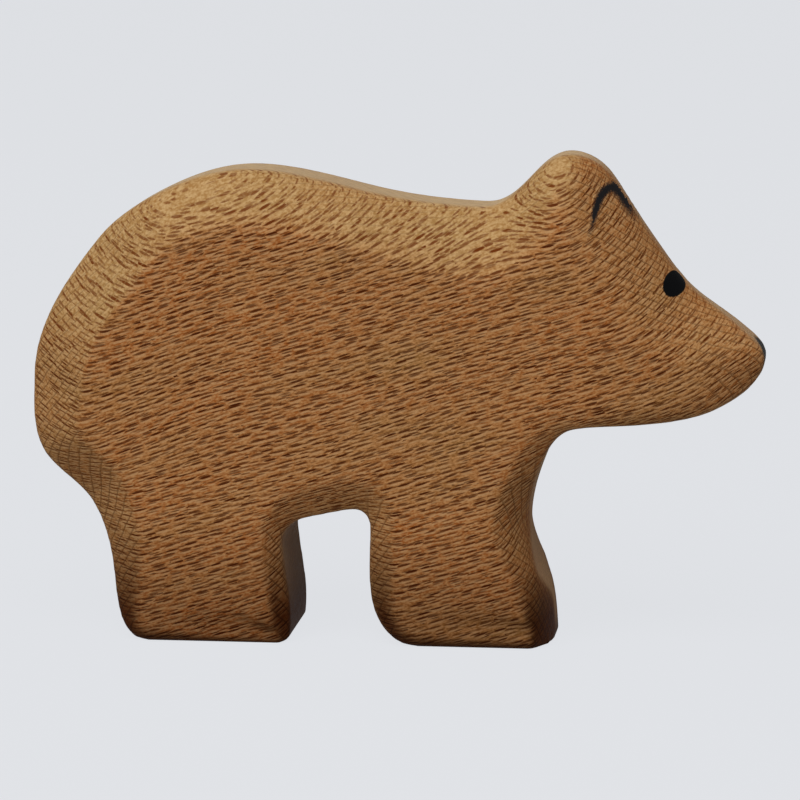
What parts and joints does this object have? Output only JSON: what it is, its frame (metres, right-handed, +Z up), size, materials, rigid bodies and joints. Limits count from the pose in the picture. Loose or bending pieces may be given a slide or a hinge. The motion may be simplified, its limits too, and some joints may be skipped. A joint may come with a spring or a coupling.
{
  "type": "wooden bear figurine",
  "caption": "Standing bear figurine carved from one thick beech board, with broad legs, an arch under the belly and painted eyes, ear lines and nose.",
  "frame": {"origin": "on the floor under the middle of the figure's box", "axes": "+X towards the nose, +Y through the board towards the bear's left side, +Z up"},
  "size_m": [0.1206, 0.026, 0.08],
  "materials": {
    "beech": "sanded and oiled beech with short brown ray flecks",
    "eye_paint": "matte black paint",
    "ear_paint": "thin grey-black brush stroke",
    "nose_paint": "matte dark paint"
  },
  "bodies": {
    "root": {"bear_body": "beech", "right_eye": "eye_paint", "left_eye": "eye_paint", "right_ear_line": "ear_paint", "left_ear_line": "ear_paint", "nose": "nose_paint"}
  },
  "joints": []
}
